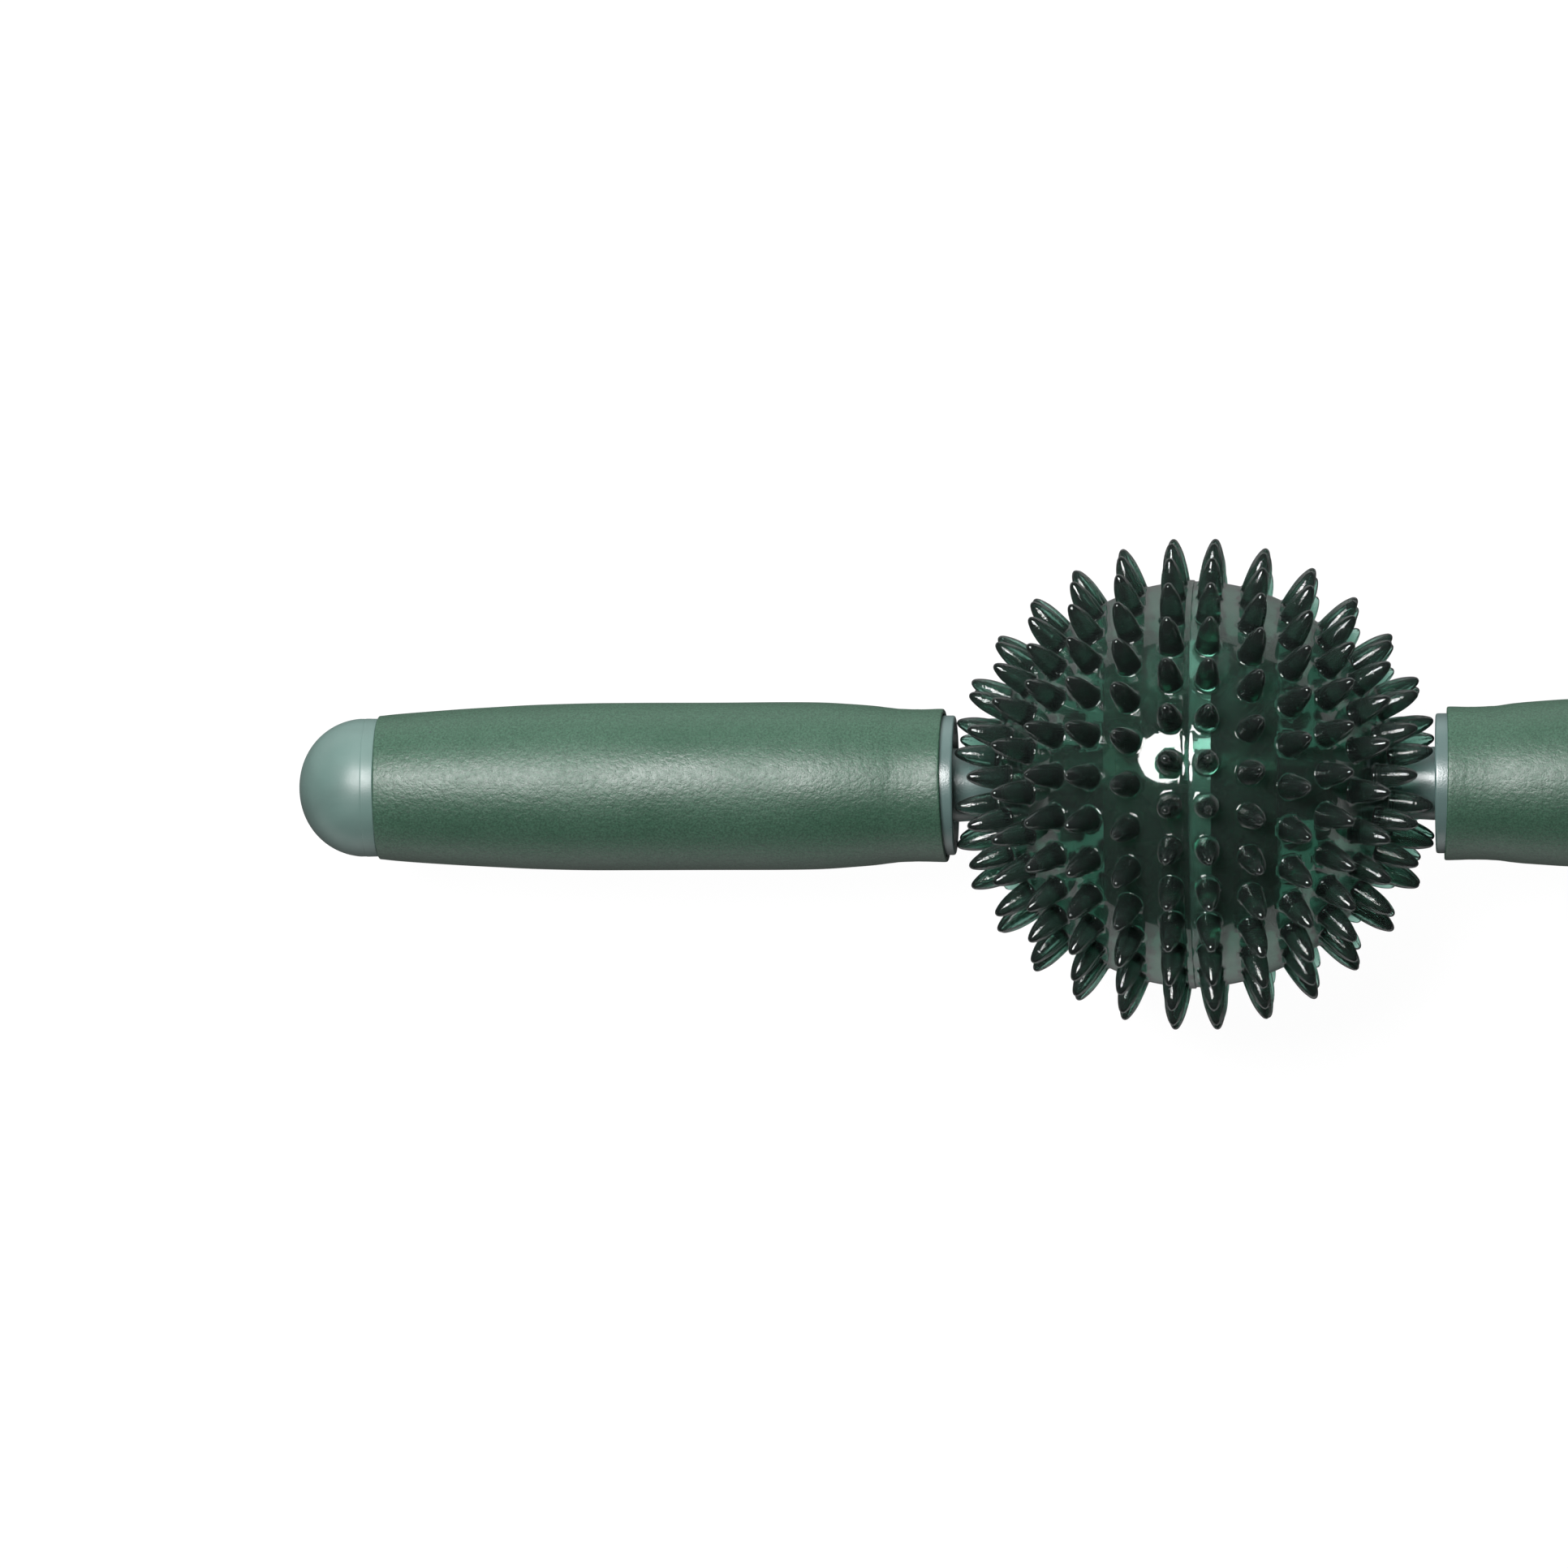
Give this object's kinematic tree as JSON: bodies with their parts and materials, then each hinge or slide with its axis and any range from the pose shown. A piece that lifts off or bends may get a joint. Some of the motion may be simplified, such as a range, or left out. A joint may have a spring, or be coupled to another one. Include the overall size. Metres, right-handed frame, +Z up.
{
  "type": "foot massage roller",
  "caption": "Hand-held or underfoot massage roller: a hollow translucent ball covered in blunt spikes spins on an axle between foam handles with domed caps.",
  "frame": {"origin": "centre of the ball, on the axle's axis", "axes": "+X along the axle towards the right handle, +Y to the side, +Z up when the roller lies balanced on a level surface"},
  "size_m": [0.3656, 0.0996, 0.099],
  "materials": {
    "ball_pvc": "glossy translucent dark green soft PVC",
    "grip_foam": "satin dark green foam rubber with a fine leathery skin",
    "moulded_plastic": "satin grey-green moulded plastic",
    "core_plastic": "plain dark moulded plastic",
    "bearing_nylon": "natural nylon",
    "axle_steel": "zinc-plated steel"
  },
  "bodies": {
    "handles_and_axle": {"spacer_tube": "axle_steel", "axle_rod": "axle_steel", "thrust_washers": "bearing_nylon", "rod_washers": "axle_steel", "rod_nuts": "axle_steel", "collar_left": "moulded_plastic", "collar_right": "moulded_plastic", "end_cap_left": "moulded_plastic", "end_cap_right": "moulded_plastic", "handle_core_left": "core_plastic", "handle_core_right": "core_plastic", "rod_guide_left": "bearing_nylon", "rod_guide_right": "bearing_nylon", "foam_grip_left": "grip_foam", "foam_grip_right": "grip_foam"},
    "spiked_ball": {"ball_shell_left": "ball_pvc", "ball_shell_right": "ball_pvc", "hub_tube": "core_plastic", "hub_bushing_left": "bearing_nylon", "hub_bushing_right": "bearing_nylon", "drum_barrel": "core_plastic", "drum_disc_left": "core_plastic", "drum_disc_right": "core_plastic"}
  },
  "joints": [
    {"name": "ball_spin", "type": "hinge", "parent": "handles_and_axle", "child": "spiked_ball", "pos_m": [0, 0, 0], "axis": [1, 0, 0], "continuous": true}
  ]
}
